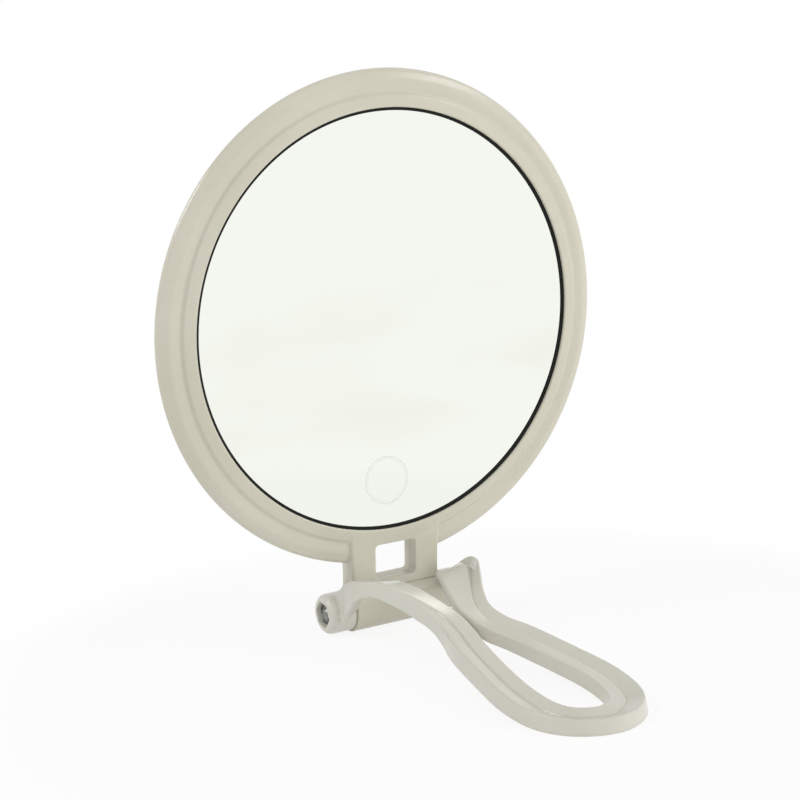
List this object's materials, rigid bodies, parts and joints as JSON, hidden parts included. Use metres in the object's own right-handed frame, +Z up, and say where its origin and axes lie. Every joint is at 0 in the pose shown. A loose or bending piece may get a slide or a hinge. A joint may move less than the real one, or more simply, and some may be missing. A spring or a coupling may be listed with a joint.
{
  "type": "table mirror",
  "caption": "A round two-sided table mirror in an ivory plastic ring, hinged by a bolt to a folding loop handle that lies flat as its stand",
  "frame": {"origin": "on the table, at the middle of the mirror's footprint", "axes": "+Z up. +X along the hinge, to the right of someone who looks into the magnifying side. -Y towards that person, the way the loop handle points."},
  "size_m": [0.1492, 0.1214, 0.1693],
  "materials": {
    "ivory_plastic": "glossy injection-moulded ivory plastic",
    "mirror_glass": "silvered glass, polished",
    "black_gasket": "matte black rubber",
    "zinc_steel": "bright zinc-plated steel",
    "nylon": "natural nylon, matte",
    "label_film": "clear glossy label film"
  },
  "bodies": {
    "handle": {"loop_handle": "ivory_plastic", "hinge_bolt": "zinc_steel", "hinge_nut": "zinc_steel", "flat_washer": "zinc_steel", "spring_washer": "zinc_steel"},
    "mirror_head": {"front_frame": "ivory_plastic", "rear_frame": "ivory_plastic", "magnifying_mirror": "mirror_glass", "plain_mirror": "mirror_glass", "front_gasket": "black_gasket", "rear_gasket": "black_gasket", "spacer_ring": "nylon", "label_film": "label_film", "hinge_sleeve": "zinc_steel", "friction_washers": "nylon"}
  },
  "joints": [
    {"name": "head_tilt", "type": "hinge", "parent": "handle", "child": "mirror_head", "pos_m": [0, 0.05387, 0.00685], "axis": [1, 0, 0], "range_deg": [-265, 5]}
  ]
}
